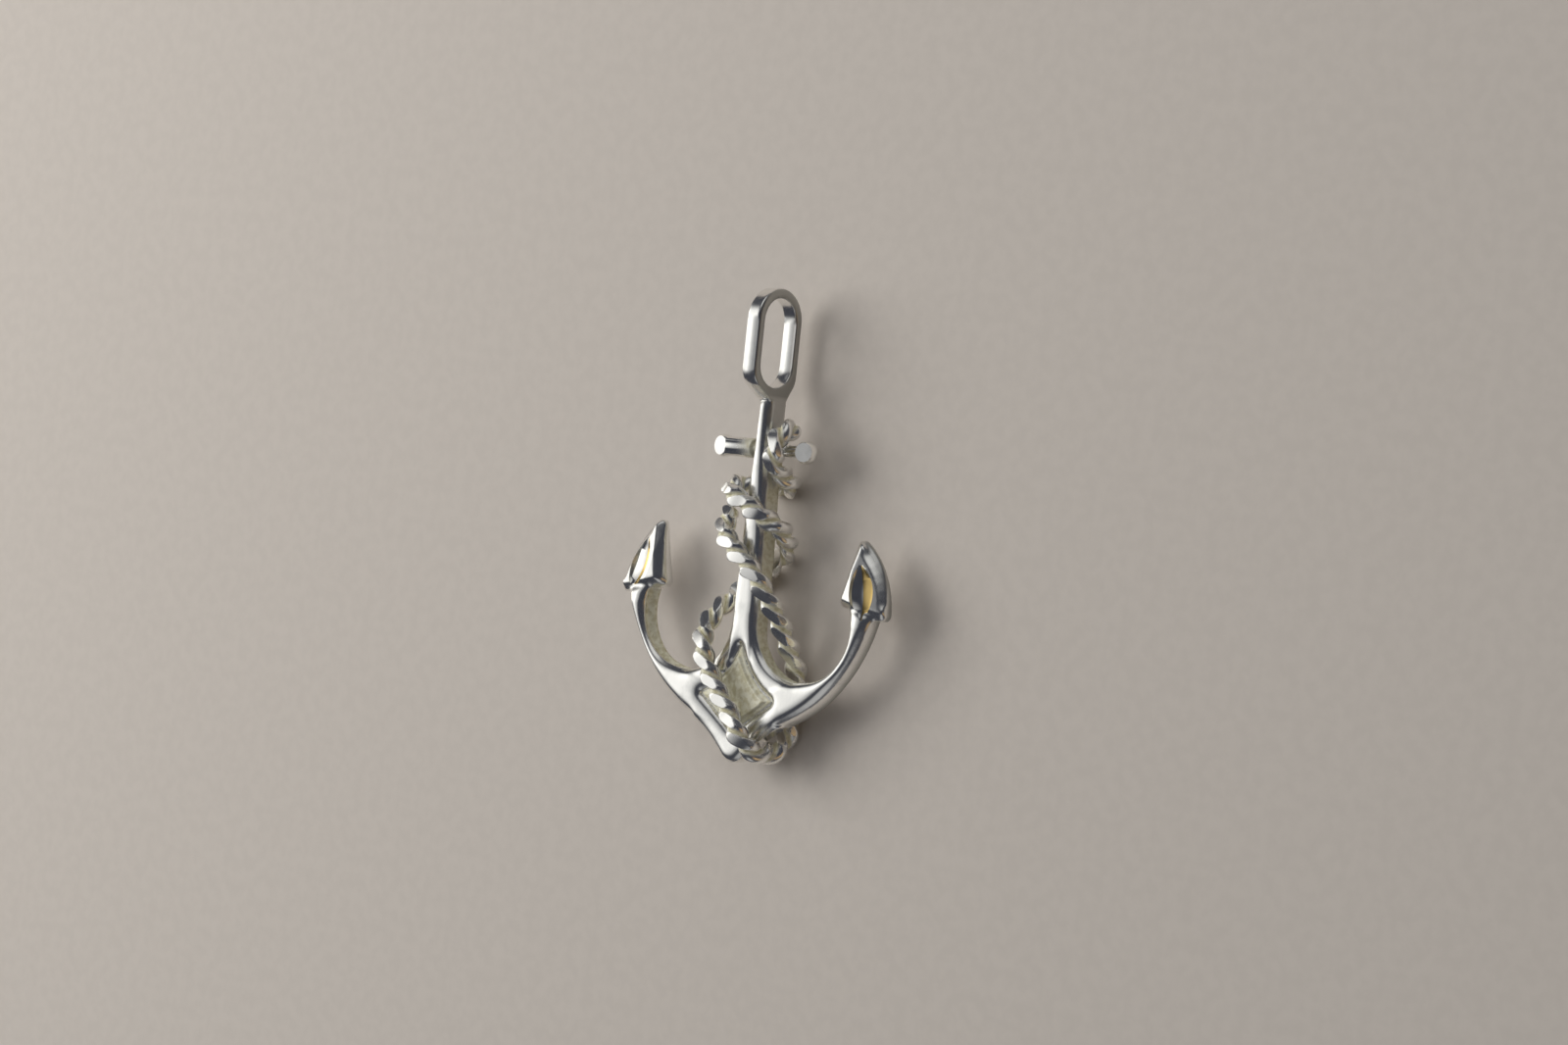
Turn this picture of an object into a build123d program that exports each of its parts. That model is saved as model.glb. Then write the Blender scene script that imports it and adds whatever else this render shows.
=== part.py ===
from build123d import *
import math
import os

# A cast silver anchor pendant with a twisted rope wound round it.
# The anchor is drawn upright: X to the wearer's left, Y up to the bail, Z out of the front.
# At the end every piece is turned together into the way that the pendant rests on its back.

# Overall sizes, with the crown's tip at the origin
overall_height = 36.05
fluke_span = 26.6

# Bail, a loop cast in one with the shank, with its hole from side to side
bail_width = 1.4
bail_depth = 5.0
bail_wall = 0.76
bail_height = 8.45
bail_floor = 0.99
bail_hole_height = bail_height - bail_wall - bail_floor
bail_forward_offset = 0.6
bail_taper_height = 1.35
bail_taper_round = 1.6
bail_edge_round = 0.2
bail_hole_round = 0.1

# Shank, a square bar with a rounded front that widens towards the crown
shank_foot_height = 7.75
shank_top_width = 1.32
shank_low_width = 2.56
shank_top_depth = 2.1
shank_low_depth = 1.76
shank_front_round = 0.42
shank_back_round = 0.16

# Arms, one bar whose outer edge is a circle round the hub, with a round bay on each side
# between the shank and the arm. The walls lean, so that the front is narrower than the back.
fluke_overhang = 0.55
arm_bottom_height = 2.25
arm_crown_thickness = 3.0
arm_outer_radius = fluke_span / 2 - fluke_overhang
arm_hub_height = arm_bottom_height + arm_outer_radius
arm_front_depth = 0.85
arm_back_depth = 0.75
arm_inner_slope_width = 0.45
arm_outer_slope_width = 0.5
arm_end_angle = 80.0
arm_front_round = 0.3
arm_back_round = 0.14

# Bays, whose outer side is the arm's inner edge
bay_drop = 4.0
bay_arm_width = 2.1
bay_height = arm_hub_height - bay_drop
bay_outer_side = math.sqrt(arm_outer_radius**2 - bay_drop**2) - bay_arm_width
bay_radius = (bay_outer_side - shank_low_width / 2) / 2
bay_middle = bay_outer_side - bay_radius

# Crown, where the shank widens into the arms, with a waisted point below
crown_inset = 0.04
crown_edge_round = 0.25
crown_tip_width = 2.0
crown_tip_height = 0.45
crown_seat = 0.05
crown_root_width = 9.2
crown_waist_width = 4.7
crown_waist_height = 1.75

# Star-shaped sunk panel in the front of the crown
panel_top = 9.2
panel_side_width = 7.6
panel_side_height = 5.0
panel_bottom = 2.2
panel_depth = 0.3
panel_hollow_across = 0.42
panel_hollow_up = 0.36
panel_plate_inset = 0.42
panel_plate_height = 0.13
panel_rib_width = 0.34
panel_rib_height = 0.2

# Flukes, one leaf at the end of each arm, with two slopes that meet in a ridge
fluke_overlap = 1.0
fluke_height = 6.3
fluke_width = 4.65
fluke_ridge_inset = 1.85
fluke_tip_inset = 3.45
fluke_barb_rise = 0.9
fluke_inner_hollow = 0.62
fluke_outer_bulge = 0.54
fluke_front_depth = 0.85
fluke_back_depth = 0.75
fluke_outward_slope = 19.0
fluke_inward_slope = 10.0
fluke_upward_slope = 9.4
fluke_corner_round = 0.5
fluke_ridge_round = 3.0
fluke_edge_round = 0.3
facet_length = 4.2
facet_width = 1.75
facet_depth = 0.16
facet_turn = 7.0
facet_shift_width = 0.5

# Stock bar, a stepped rod whose thin end goes through the shank under the rope
stock_drop = 3.74
stock_height = overall_height - bail_height - stock_drop
stock_forward_offset = 0.1
stock_span = 10.0
stock_bar_diameter = 1.5
stock_tenon_diameter = 0.92
stock_ball_diameter = 1.78
stock_flat_diameter = 1.45
stock_flat_turn = 11.0
stock_shoulder_gap = 0.35
stock_hole_clearance = 0.06

# Rope, two strands twisted to the left, with flats cut on the front of its bumps
rope_diameter = 1.74
rope_waist_width = 0.92
rope_pitch = 3.5
rope_lobe_sharpness = 1.5
rope_flat_height = 0.57
rope_end_share = 0.6
rope_clearance = 0.06
rope_sides = 12
rope_steps_per_turn = 13
route_steps = 20

# How the finished pendant lies on its back
rest_roll = -0.81
rest_pitch = 0.38

# How near two points are taken to be the same
touch = 0.001

# Raised rib in the sunk panel, its two ends as shares of the panel's half width and of its rise
panel_rib_ends = [
    # (across share, rise share)
    (-0.34, 0.40),
    (-0.10, 0.93),
]

# Places up the pendant are counted 0 at its tip, 1 at the shank's foot, 2 at the stock and
# 3 where the bail starts, with the shares between them.

# Shank sections: place up the pendant, and the share of the way from the low to the top size
shank_sections = [
    # (place, top share)
    (3.013, 1.00),
    (2.609, 0.97),
    (1.951, 0.82),
    (1.705, 0.42),
    (1.504, 0.18),
    (1.235, 0.00),
    (1.000, 0.00),
]

# Arm sections: share of the way round to a fluke, whether the inner edge follows the bay,
# shares of the two walls' full lean, and share of the front's full height, which drops
# inside the fluke
arm_sections = [
    # (round, bay, inner lean, outer lean, front)
    (0.00, 0, 0.0, 0.4, 1.0),
    (0.23, 0, 0.0, 0.5, 1.0),
    (0.44, 1, 0.0, 0.8, 1.0),
    (0.56, 1, 0.2, 0.9, 1.0),
    (0.70, 1, 0.7, 1.0, 1.0),
    (0.84, 1, 1.0, 0.7, 1.0),
    (0.92, 1, 1.0, 0.4, 1.0),
    (1.00, 1, 1.0, 0.2, 0.3),
]

# Rope route: place up the pendant, and the distances beside and before the middle line,
# as shares of where the rope touches the shank's side and its front
rope_route = [
    # (place, beside, before)
    (2.454, 1.30, -0.38),
    (2.397, 1.31, 0.26),
    (2.185, 1.31, 0.72),
    (1.947, 1.24, 0.75),
    (1.890, 1.13, 0.11),
    (1.850, 0.96, -0.68),
    (1.822, 0.27, -1.07),
    (1.828, -0.62, -1.03),
    (1.833, -1.13, -0.22),
    (1.813, -1.12, 0.44),
    (1.779, -0.76, 1.00),
    (1.736, 0.06, 1.04),
    (1.683, 0.86, 0.95),
    (1.649, 1.25, 0.39),
    (1.593, 1.19, -0.28),
    (1.530, 0.76, -0.95),
    (1.443, 0.00, -1.01),
    (1.369, -0.84, -1.13),
    (1.302, -1.34, -0.86),
    (1.219, -1.49, 0.00),
    (1.128, -1.55, 0.58),
    (1.040, -1.27, 0.98),
    (0.888, -0.90, 1.03),
    (0.684, -0.33, 1.04),
    (0.488, 0.28, 1.04),
    (0.284, 0.80, 1.06),
    (0.158, 1.21, 0.76),
    (0.120, 1.29, 0.02),
    (0.180, 1.41, -0.72),
    (0.321, 1.53, -1.08),
    (0.516, 1.70, -1.04),
    (0.721, 1.85, -1.00),
    (0.940, 1.80, -0.86),
    (1.072, 1.70, -0.41),
    (1.177, 1.59, 0.12),
    (1.271, 1.38, 0.56),
    (1.356, 1.07, 0.90),
    (1.443, 0.50, 1.03),
    (1.519, -0.30, 1.03),
    (1.586, -0.98, 0.82),
    (1.649, -1.29, 0.45),
    (1.712, -1.40, 0.08),
]


def height_at(place):
    """The height of a place up the pendant."""
    levels = [0, shank_foot_height, stock_height, overall_height - bail_height]
    part = min(int(place), len(levels) - 2)
    return levels[part] + (place - part) * (levels[part + 1] - levels[part])


def shank_half_sizes(height):
    """Half width and half depth of the shank at a height, level with the crown below it."""
    rows = [(height_at(place), top) for place, top in shank_sections]
    top_share = rows[-1][1]
    if height >= rows[0][0]:
        top_share = rows[0][1]
    for (upper, upper_top), (lower, lower_top) in zip(rows, rows[1:]):
        if lower <= height < upper:
            along = (height - lower) / (upper - lower)
            top_share = lower_top + along * (upper_top - lower_top)
    width = shank_low_width + top_share * (shank_top_width - shank_low_width)
    depth = shank_low_depth + top_share * (shank_top_depth - shank_low_depth)
    return width / 2, depth / 2


def section_face(plane, corners, rounds):
    """A closed face on a plane through a few corners, each with its own rounding."""
    with BuildSketch(plane) as section:
        with BuildLine():
            FilletPolyline(*corners, radius=rounds, close=True)
        make_face()
    return section.sketch.faces()[0]


def make_shank():
    sections = []
    for place, _ in shank_sections:
        height = height_at(place)
        half_width, half_depth = shank_half_sizes(height)
        corners = [
            (-half_width, -half_depth),
            (half_width, -half_depth),
            (half_width, half_depth),
            (-half_width, half_depth),
        ]
        rounds = [shank_back_round, shank_back_round, shank_front_round, shank_front_round]
        level = Plane(origin=(0, height, 0), x_dir=(1, 0, 0), z_dir=(0, -1, 0))
        sections.append(section_face(level, corners, rounds))
    return loft(Sketch() + sections)


def bail_side_outline():
    """The bail seen from the side, as a face in the plane of Y and Z."""
    top = overall_height
    half_depth = bail_depth / 2
    foot = top - bail_height
    neck = shank_top_depth / 2
    corner = foot + bail_taper_height
    side_top = top - half_depth
    front = bail_forward_offset + half_depth
    back = bail_forward_offset - half_depth
    with BuildSketch(Plane.YZ) as outline:
        with BuildLine():
            FilletPolyline((foot, neck), (corner, front), (side_top, front), radius=bail_taper_round)
            ThreePointArc((side_top, front), (top, bail_forward_offset), (side_top, back))
            FilletPolyline((side_top, back), (corner, back), (foot, -neck), radius=bail_taper_round)
            Line((foot, -neck), (foot, neck))
        make_face()
    return outline.sketch


def make_bail():
    """The loop, rounded along its outer edges and then pierced and rounded round its hole."""
    foot = overall_height - bail_height
    bail = extrude(bail_side_outline(), bail_width / 2, both=True)
    outer_edges = bail.edges().filter_by(Axis.X, reverse=True)
    outer_edges = outer_edges.filter_by(lambda edge: edge.center().Y > foot + bail_edge_round)
    bail = fillet(outer_edges, bail_edge_round)
    hole_middle = overall_height - bail_wall - bail_hole_height / 2
    with BuildSketch(Plane.YZ) as slot:
        with Locations((hole_middle, bail_forward_offset)):
            SlotOverall(bail_hole_height, bail_depth - 2 * bail_wall)
    bail = bail - extrude(slot.sketch, bail_width, both=True)
    rim = [
        edge
        for edge in bail.edges().filter_by(Axis.X, reverse=True)
        if abs(abs(edge.center().X) - bail_width / 2) < touch
        and slot.sketch.distance_to(Pos(-edge.center().X, 0, 0) * Vertex(edge @ 0.5)) < touch
    ]
    return fillet(rim, bail_hole_round)


def arm_inner_reach(angle, follows_bay):
    """Distance from the hub to the arm's inner edge, at an angle from straight down."""
    if not follows_bay:
        return arm_outer_radius - arm_crown_thickness
    towards = bay_middle * math.sin(angle) + bay_drop * math.cos(angle)
    return towards + math.sqrt(towards**2 - bay_middle**2 - bay_drop**2 + bay_radius**2)


def make_arms():
    """Both arms in one bend, from fluke to fluke through the crown."""
    rows = [(-row[0], *row[1:]) for row in reversed(arm_sections[1:])] + arm_sections
    sections = []
    for share, follows_bay, inner_lean, outer_lean, front in rows:
        angle = math.radians(share * arm_end_angle)
        inner = arm_inner_reach(abs(angle), follows_bay)
        outward = (math.sin(angle), -math.cos(angle), 0)
        along = (-math.cos(angle), -math.sin(angle), 0)
        cross_plane = Plane(origin=(0, arm_hub_height, 0), x_dir=outward, z_dir=along)
        corners = [
            (inner, -arm_back_depth),
            (arm_outer_radius, -arm_back_depth),
            (arm_outer_radius - outer_lean * arm_outer_slope_width, front * arm_front_depth),
            (inner + inner_lean * arm_inner_slope_width, front * arm_front_depth),
        ]
        rounds = [arm_back_round, arm_back_round, arm_front_round, arm_front_round]
        sections.append(section_face(cross_plane, corners, rounds))
    return loft(Sketch() + sections)


def front_rim(solid, front):
    """The edges that lie in a solid's front face."""
    return [edge for edge in solid.edges() if all(abs((edge @ t).Z - front) < touch for t in (0, 0.5, 1))]


def make_web():
    """The web that carries the shank's sides round into the arms, between the two bays."""
    with BuildSketch(Plane.XY.offset(-arm_back_depth + crown_inset)) as web:
        with Locations((0, arm_hub_height)):
            Circle(arm_outer_radius - arm_back_depth)
        with Locations((0, bay_height / 2)):
            Rectangle(2 * bay_middle, bay_height, mode=Mode.INTERSECT)
        with Locations((bay_middle, bay_height), (-bay_middle, bay_height)):
            Circle(bay_radius + crown_inset, mode=Mode.SUBTRACT)
    web = extrude(web.sketch, arm_front_depth + arm_back_depth - 2 * crown_inset)
    return fillet(front_rim(web, arm_front_depth - crown_inset), crown_edge_round)


def make_crown_point():
    root = crown_root_width / 2
    root_height = arm_hub_height - math.sqrt(arm_outer_radius**2 - root**2) + crown_seat
    waist = crown_waist_width / 2
    tip = crown_tip_width / 2
    side = [(root, root_height), (waist, crown_waist_height), (tip, crown_tip_height)]
    other_side = [(-across, height) for across, height in side]
    with BuildSketch(Plane.XY.offset(-arm_back_depth + crown_inset)) as point:
        with BuildLine():
            ThreePointArc(*side)
            ThreePointArc((tip, crown_tip_height), (0, 0), (-tip, crown_tip_height))
            ThreePointArc(*other_side)
            Line((root, root_height), (-root, root_height))
        make_face()
        tips = point.vertices().filter_by(lambda corner: corner.Y < crown_waist_height)
        fillet(tips, crown_tip_height)
    crown = extrude(point.sketch, arm_front_depth + arm_back_depth - 2 * crown_inset)
    rim = [
        edge
        for edge in front_rim(crown, arm_front_depth - crown_inset)
        if edge.center().Y < root_height - touch
    ]
    return fillet(rim, crown_edge_round)


def make_panel_cut():
    """The sunk star: curved upper sides, straight lower ones, and a star and a rib left standing."""
    side = panel_side_width / 2
    rise = panel_top - panel_side_height
    across = panel_hollow_across * side
    up = panel_side_height + panel_hollow_up * rise
    floor = arm_front_depth - panel_depth
    with BuildSketch(Plane.XY.offset(floor)) as star:
        with BuildLine():
            ThreePointArc((0, panel_top), (across, up), (side, panel_side_height))
            Line((side, panel_side_height), (0, panel_bottom))
            Line((0, panel_bottom), (-side, panel_side_height))
            ThreePointArc((-side, panel_side_height), (-across, up), (0, panel_top))
        make_face()
    cut = extrude(star.sketch, shank_low_depth)
    foot, head = [
        Vector(across_share * side, panel_side_height + rise_share * rise)
        for across_share, rise_share in panel_rib_ends
    ]
    middle = (foot + head) * 0.5
    turn = math.degrees(math.atan2(head.Y - foot.Y, head.X - foot.X))
    rib = Pos(middle.X, middle.Y, floor) * Rot(0, 0, turn)
    rib = rib * Box((head - foot).length, panel_rib_width, 2 * panel_rib_height)
    plate = extrude(offset(star.sketch, -panel_plate_inset), panel_plate_height)
    return cut - plate - rib


def fluke_base_height():
    """The flukes start a little below the outer corner of the arms' ends."""
    return arm_hub_height - arm_outer_radius * math.cos(math.radians(arm_end_angle)) - fluke_overlap


def fluke_slope(turn):
    """A plane along the right-hand fluke's ridge, tilted back up the fluke and to one side."""
    origin = Vector(fluke_span / 2 - fluke_ridge_inset, fluke_base_height(), fluke_front_depth)
    ridge_lean = fluke_tip_inset - fluke_ridge_inset
    ridge_turn = math.degrees(math.atan2(ridge_lean, fluke_height))
    plane = Plane(origin=origin, x_dir=(1, 0, 0), z_dir=(0, 0, 1))
    return plane.location * Rot(0, 0, ridge_turn) * Rot(-fluke_upward_slope, 0, 0) * Rot(0, turn, 0)


def make_fluke():
    base = fluke_base_height()
    top = base + fluke_height
    outer = fluke_span / 2
    inner = outer - fluke_width
    tip = outer - fluke_tip_inset
    barb = base + fluke_barb_rise
    middle = base + fluke_height / 2
    with BuildSketch(Plane.XY.offset(-fluke_back_depth)) as leaf:
        with BuildLine():
            ThreePointArc((tip, top), (tip - fluke_inner_hollow, middle), (inner, barb))
            Line((inner, barb), (outer, base))
            ThreePointArc((outer, base), (outer - fluke_outer_bulge, middle), (tip, top))
        make_face()
        fillet(leaf.vertices(), fluke_corner_round)
    fluke = extrude(leaf.sketch, fluke_back_depth + fluke_front_depth + fluke_height)
    slopes = [fluke_slope(fluke_outward_slope), fluke_slope(-fluke_inward_slope)]
    for slope in slopes:
        fluke = fluke - slope * Pos(0, 0, fluke_span / 2) * Box(fluke_span, fluke_span, fluke_span)
    ridge = [
        edge
        for edge in fluke.edges()
        if all(abs(Plane(slope).to_local_coords(edge @ t).Z) < touch for slope in slopes for t in (0, 1))
    ]
    fluke = fillet(ridge, fluke_ridge_round)
    walls = [face for face in fluke.faces() if abs(face.normal_at(face.center()).Z) < touch]
    rim = [
        edge
        for edge in fluke.edges().filter_by(Axis.Z, reverse=True)
        if any(wall.distance_to(Vertex(edge @ 0.5)) < touch for wall in walls)
        and (edge @ 0.5).Z > touch - fluke_back_depth
    ]
    return fillet(rim, fluke_edge_round)


def make_facet_cut():
    """The long lens-shaped facet cut into the outer slope of the right-hand fluke."""
    half_length = facet_length / 2
    half_width = facet_width / 2
    with BuildSketch() as lens:
        with BuildLine():
            ThreePointArc((0, -half_length), (half_width, 0), (0, half_length))
            ThreePointArc((0, half_length), (-half_width, 0), (0, -half_length))
        make_face()
    cutter = extrude(lens.sketch, fluke_height)
    place = Pos(facet_shift_width, half_length + fluke_corner_round, -facet_depth)
    return fluke_slope(fluke_outward_slope) * place * Rot(0, -facet_turn, 0) * cutter


def make_anchor():
    fluke = make_fluke() - make_facet_cut()
    stock_hole = Pos(0, stock_height, stock_forward_offset) * Rot(0, 90, 0) * Cylinder(
        stock_tenon_diameter / 2 + stock_hole_clearance, 2 * shank_low_width
    )
    anchor = make_shank() + make_bail()
    anchor = anchor + make_arms() + make_web() + make_crown_point()
    anchor = anchor + fluke + mirror(fluke, Plane.YZ)
    return anchor - make_panel_cut() - stock_hole


def make_stock_bar():
    """A thick bar on one side, a thin tenon through the shank, and a formed ball at its end."""
    end = stock_span / 2
    ball = stock_ball_diameter / 2
    shank_side = shank_half_sizes(stock_height)[0]
    bar_start = shank_side + stock_shoulder_gap
    ball_middle = end - ball
    left_end = Pos(-ball_middle, 0, 0) * Sphere(ball)
    right_end = Pos(ball_middle, 0, 0) * Sphere(ball)
    bar_length = ball_middle - bar_start
    bar = Rot(0, 90, 0) * Cylinder(stock_bar_diameter / 2, bar_length)
    bar = Pos(-bar_start - bar_length / 2, 0, 0) * bar
    tenon = Rot(0, 90, 0) * Cylinder(stock_tenon_diameter / 2, 2 * ball_middle)
    stock = left_end + bar + tenon + right_end
    flat_depth = math.sqrt(ball**2 - (stock_flat_diameter / 2) ** 2)
    for side in (-1, 1):
        facing = Pos(side * ball_middle, 0, 0) * Rot(0, side * stock_flat_turn, 0)
        stock = stock - facing * Pos(0, 0, flat_depth + ball) * Cylinder(stock_flat_diameter / 2, 2 * ball)
    return Pos(0, stock_height, stock_forward_offset) * stock


def rope_points():
    """The route's points in millimetres, worked out from where the rope touches the anchor."""
    stand_off = rope_diameter / 2 + rope_clearance
    points = []
    for place, beside, before in rope_route:
        height = height_at(place)
        half_width, half_depth = shank_half_sizes(height)
        points.append(Vector(beside * (half_width + stand_off), height, before * (half_depth + stand_off)))
    return points


def smooth_line(points, step):
    """Even points along a smooth curve through the route's points."""
    ends = [points[0] * 2 - points[1]] + points + [points[-1] * 2 - points[-2]]
    fine = []
    for before, start, stop, after in zip(ends, ends[1:], ends[2:], ends[3:]):
        slope = stop - before
        bend = before * 2 - start * 5 + stop * 4 - after
        twist = start * 3 - before - stop * 3 + after
        for step_number in range(route_steps):
            t = step_number / route_steps
            fine.append(start + (slope * t + bend * t**2 + twist * t**3) * 0.5)
    fine.append(points[-1])
    lengths = [0.0]
    for first, second in zip(fine, fine[1:]):
        lengths.append(lengths[-1] + (second - first).length)
    count = round(lengths[-1] / step)
    even = []
    place = 0
    for number in range(count + 1):
        wanted = lengths[-1] * number / count
        while place < len(lengths) - 2 and lengths[place + 1] < wanted:
            place += 1
        share = (wanted - lengths[place]) / (lengths[place + 1] - lengths[place])
        even.append(fine[place] + (fine[place + 1] - fine[place]) * share)
    return even


def rope_rings():
    """Rings of points round the rope: two lobes that turn as they go, cut flat at the front."""
    line = smooth_line(rope_points(), rope_pitch / rope_steps_per_turn)
    radius = rope_diameter / 2
    waist = rope_waist_width / 2
    side = Vector(1, 0, 0)
    rings = []
    for number, middle in enumerate(line):
        behind = line[max(number - 1, 0)]
        ahead = line[min(number + 1, len(line) - 1)]
        along = (ahead - behind).normalized()
        side = (side - along * side.dot(along)).normalized()
        across = along.cross(side)
        turn = -2 * math.pi * number / rope_steps_per_turn
        thinning = rope_end_share if number in (0, len(line) - 1) else 1.0
        ring = []
        for corner in range(rope_sides):
            angle = 2 * math.pi * corner / rope_sides
            lobe = abs(math.cos(angle)) ** rope_lobe_sharpness
            reach = (waist + (radius - waist) * lobe) * thinning
            offset = side * (reach * math.cos(angle + turn)) + across * (reach * math.sin(angle + turn))
            if offset.Z > rope_flat_height:
                offset = Vector(offset.X, offset.Y, rope_flat_height)
            ring.append(middle + offset)
        rings.append(ring)
    return rings


def make_rope():
    rings = rope_rings()
    faces = []
    for ring, following in zip(rings, rings[1:]):
        for corner in range(rope_sides):
            beside = (corner + 1) % rope_sides
            faces.append(Face(Wire.make_polygon([ring[corner], ring[beside], following[beside]])))
            faces.append(Face(Wire.make_polygon([ring[corner], following[beside], following[corner]])))
    for ring, place in ((rings[0], 0), (rings[-1], -1)):
        middle = sum(ring, Vector(0, 0, 0)) * (1 / rope_sides)
        for corner in range(rope_sides):
            faces.append(Face(Wire.make_polygon([ring[corner], ring[(corner + 1) % rope_sides], middle])))
    return Solid(Shell(faces))


def at_rest(pieces):
    """Turn the pieces onto the pendant's back and set the box's bottom centre at the origin."""
    turned = {name: Rot(rest_pitch, rest_roll, 0) * piece for name, piece in pieces.items()}
    boxes = [piece.bounding_box() for piece in turned.values()]
    across = (min(box.min.X for box in boxes) + max(box.max.X for box in boxes)) / 2
    along = (min(box.min.Y for box in boxes) + max(box.max.Y for box in boxes)) / 2
    floor = min(box.min.Z for box in boxes)
    return {name: Pos(-across, -along, -floor) * piece for name, piece in turned.items()}


pieces = at_rest({"anchor": make_anchor(), "stock_bar": make_stock_bar(), "rope": make_rope()})
os.makedirs("parts", exist_ok=True)
for name, piece in pieces.items():
    export_step(piece, f"parts/{name}.step")
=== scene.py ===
import math

import bmesh
import bpy
import numpy as np
from mathutils import Matrix, Vector, noise


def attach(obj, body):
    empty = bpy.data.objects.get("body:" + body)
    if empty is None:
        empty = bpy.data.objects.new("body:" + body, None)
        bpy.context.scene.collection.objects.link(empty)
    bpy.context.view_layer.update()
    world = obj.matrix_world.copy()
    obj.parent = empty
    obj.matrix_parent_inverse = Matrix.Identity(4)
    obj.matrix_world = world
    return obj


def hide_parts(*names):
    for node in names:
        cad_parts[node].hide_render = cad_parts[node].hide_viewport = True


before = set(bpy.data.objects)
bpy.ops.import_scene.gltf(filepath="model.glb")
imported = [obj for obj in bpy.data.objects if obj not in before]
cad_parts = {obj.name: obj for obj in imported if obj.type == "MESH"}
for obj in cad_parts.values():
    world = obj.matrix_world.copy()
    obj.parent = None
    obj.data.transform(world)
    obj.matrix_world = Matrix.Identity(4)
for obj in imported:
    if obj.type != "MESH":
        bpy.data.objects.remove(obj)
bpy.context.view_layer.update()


# The pendant's own upright frame: X to the viewer's right, Y up the shank from the crown's tip
# and Z out of the front, in millimetres. Every piece is shaped in it and then laid on its back,
# with the turn and the place that the solid pieces have.
rest_pitch = math.radians(0.38)
rest_roll = math.radians(-0.81)
crown_tip = Vector((-0.006, -18.021, 2.853))
laying = Matrix.Rotation(rest_pitch, 4, "X") @ Matrix.Rotation(rest_roll, 4, "Y")
upright_to_rest = Matrix.Scale(0.001, 4) @ Matrix.Translation(crown_tip) @ laying


# Anchor: one silver casting with its bail, shank, crown, arms and flukes. The wax was carved by
# hand, so its walls meet in soft edges. The crests were polished, the hollows kept the yellowish
# skin of the mould, and a mirror-bright lens was cut into each fluke.
casting_grain = 0.088
casting_softening = 4
last_softening = 2

# Bail
bail_foot = 27.6
bail_half_width = 0.7
bail_rounding = 0.14
bail_arc_height = 33.55
bail_arc_front = 0.6
bail_outer_radius = 2.5
bail_hole_radius = 1.74
bail_edge_round = 0.2
bail_hole_round = 0.1

# Polished crests
crest_level = 0.62
crest_rounding = 0.24
crest_reach = 55

# Star-shaped sunk panel
star_top = 9.2
star_side = 3.8
star_side_height = 5.0
star_bottom = 2.2
star_hollow = (1.6, 6.5)
star_floor = 0.55
star_border = 0.1
star_plate_edge = 0.41
star_plate_blur = 0.06
star_plate_rise = 0.16
star_bead_inset = 0.12
star_bead_half_width = 0.16
star_bead_rise = 0.07
star_dip_start = 0.2
star_dip_stop = 0.8
star_dip = 0.05
star_rib_ends = ((-1.29, 6.68), (-0.38, 8.91))
star_rib_half_width = 0.2
star_rib_rise = 0.2
star_grain = 0.025
star_grain_size = 0.35

# Arms, with a shallow channel in the wall of the bay between each arm and the shank
arm_hub_height = 15.0
bay_middle = (5.643, 11.0)
bay_radius = 4.363
channel_depth = 0.26
channel_height = 0.05
channel_half_width = 0.45
channel_top = 12.9
channel_end_length = 0.8

# Flukes
fluke_inner_limit = 8.0
fluke_tip = (9.85, 18.09)
fluke_barb = (8.65, 12.69)
fluke_heel = (13.3, 11.79)
fluke_inner_side = (9.23, 14.94)
fluke_outer_side = (12.76, 14.94)
fluke_far_side = 22.0
slope_middle = (11.3, 14.03)
slope_level = 0.5
slope_fall = 0.12
slope_side_fall = 0.255
slope_flat_width = 1.0
inner_bevel_width = 0.75
inner_bevel_drop = 0.5
outer_bevel_width = 0.7
outer_bevel_drop = 0.3
lower_bevel_width = 0.5
lower_bevel_drop = 0.2
foot_blend_width = 1.0
foot_blend_core = 0.3
foot_softening = 40

# Lenses
lens_length = 4.25
lens_width = 1.75
lens_tip_half_width = 0.02
lens_depth = 0.3
lens_least_depth = 0.08
lens_keel = 0.17
lens_rim_width = 0.13
lens_sections = 24
lens_headroom = 2.0
lens_turn = math.radians(12.7)
lens_places = [
    # (side, middle)
    (-1, (11.45, 14.2)),
    (1, (11.15, 13.87)),
]
# One face of each lens, half of its keel, is coloured amber as a painted warm reflection.
polished_face, mirror_face, reflection_face, rim_face = range(4)


def new_piece(name, mesh):
    """An object for a mesh, in the scene."""
    piece = bpy.data.objects.new(name, mesh)
    bpy.context.scene.collection.objects.link(piece)
    return piece


def apply_modifiers(piece):
    """The piece's mesh as its modifiers leave it."""
    bpy.context.view_layer.update()
    finished = piece.evaluated_get(bpy.context.evaluated_depsgraph_get())
    mesh = bpy.data.meshes.new_from_object(finished)
    piece.modifiers.clear()
    piece.data = mesh


def read_points(mesh):
    """The mesh's points and their normals, one row each."""
    points = np.empty(len(mesh.vertices) * 3)
    normals = np.empty(len(mesh.vertices) * 3)
    mesh.vertices.foreach_get("co", points)
    mesh.vertices.foreach_get("normal", normals)
    return points.reshape(-1, 3), normals.reshape(-1, 3)


def write_points(mesh, points):
    mesh.vertices.foreach_set("co", points.ravel())
    mesh.update()


def smooth_step(low, high, values):
    """0 below low, 1 above high and an even S between them."""
    share = np.clip((values - low) / (high - low), 0.0, 1.0)
    return share * share * (3.0 - 2.0 * share)


def hump(middle, width, values):
    """1 at the middle, falling evenly to 0 at the width."""
    return np.clip(1.0 - ((values - middle) / width) ** 2, 0.0, 1.0) ** 2


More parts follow.
